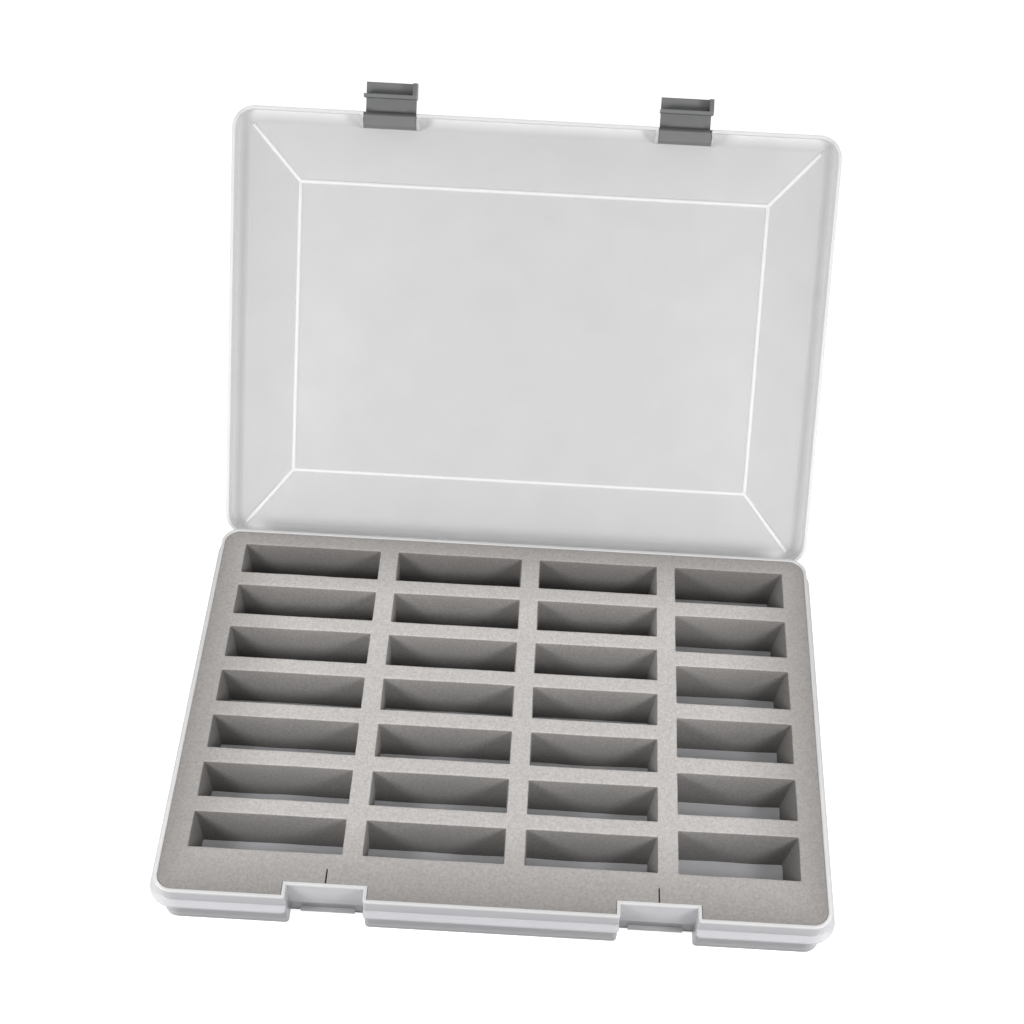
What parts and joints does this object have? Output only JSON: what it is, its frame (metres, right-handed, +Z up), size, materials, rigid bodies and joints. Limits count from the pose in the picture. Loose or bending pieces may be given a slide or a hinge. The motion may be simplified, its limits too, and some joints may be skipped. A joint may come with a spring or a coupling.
{
  "type": "model car storage case",
  "caption": "Flat translucent plastic case with a foam insert cut into slots for small model cars, a hinged lid with a raised panel, and hooked front latches.",
  "frame": {"origin": "middle of the tray's underside, between its side walls and between its front and back walls", "axes": "+Z up, -Y towards the front where the latches close, +X to the right seen from the front"},
  "size_m": [0.366, 0.4487, 0.2349],
  "materials": {
    "tray_plastic": "satin",
    "lid_plastic": "satin",
    "latch_plastic": "satin",
    "foam": "matte",
    "steel": "satin"
  },
  "bodies": {
    "base": {"base_tray": "tray_plastic", "foam_insert": "foam", "hinge_pin_left": "steel", "hinge_pin_right": "steel"},
    "lid": {"lid": "lid_plastic", "latch_pin_left": "steel", "latch_pin_right": "steel"},
    "latch_left": {"latch_left": "latch_plastic"},
    "latch_right": {"latch_right": "latch_plastic"}
  },
  "joints": [
    {"name": "lid_hinge", "type": "hinge", "parent": "base", "child": "lid", "pos_m": [0, 0.1326, 0.017], "axis": [1, 0, 0], "range_deg": [0, 127.9]},
    {"name": "latch_left_pivot", "type": "hinge", "parent": "lid", "child": "latch_left", "pos_m": [-0.0885, 0.30041, 0.21433], "axis": [1, 0, 0], "range_deg": [0, 90]},
    {"name": "latch_right_pivot", "type": "hinge", "parent": "lid", "child": "latch_right", "pos_m": [0.0885, 0.30041, 0.21433], "axis": [1, 0, 0], "range_deg": [0, 90]}
  ]
}
